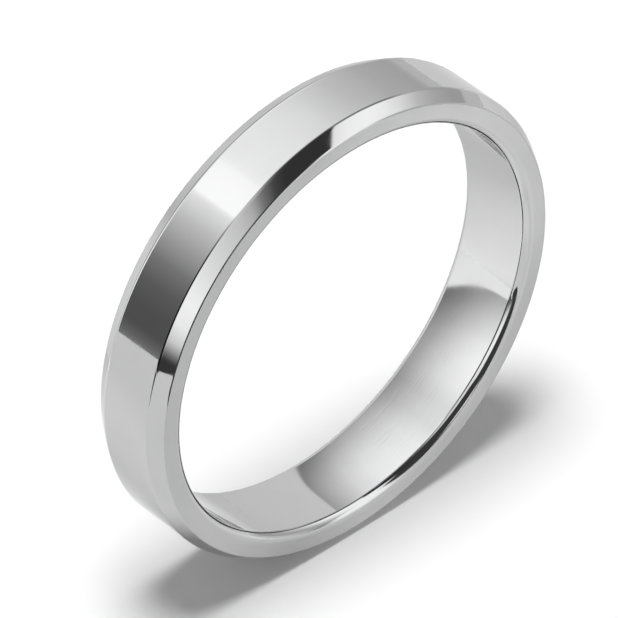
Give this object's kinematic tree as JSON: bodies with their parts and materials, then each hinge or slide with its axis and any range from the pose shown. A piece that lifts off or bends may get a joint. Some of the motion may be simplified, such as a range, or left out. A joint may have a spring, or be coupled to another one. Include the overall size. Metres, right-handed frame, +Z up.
{
  "type": "wedding band",
  "caption": "Plain polished wedding band with a flat outside, bevelled edges, narrow flat side faces and a bore with rolled mouths.",
  "frame": {"origin": "centre of the bore, on its axis, halfway between the two side faces", "axes": "+Y along the bore's axis, from the front side face to the back one; +Z up, with the band standing on its rim"},
  "size_m": [0.0228, 0.004, 0.0228],
  "materials": {
    "polished_metal": "polished"
  },
  "bodies": {
    "root": {"band": "polished_metal"}
  },
  "joints": []
}
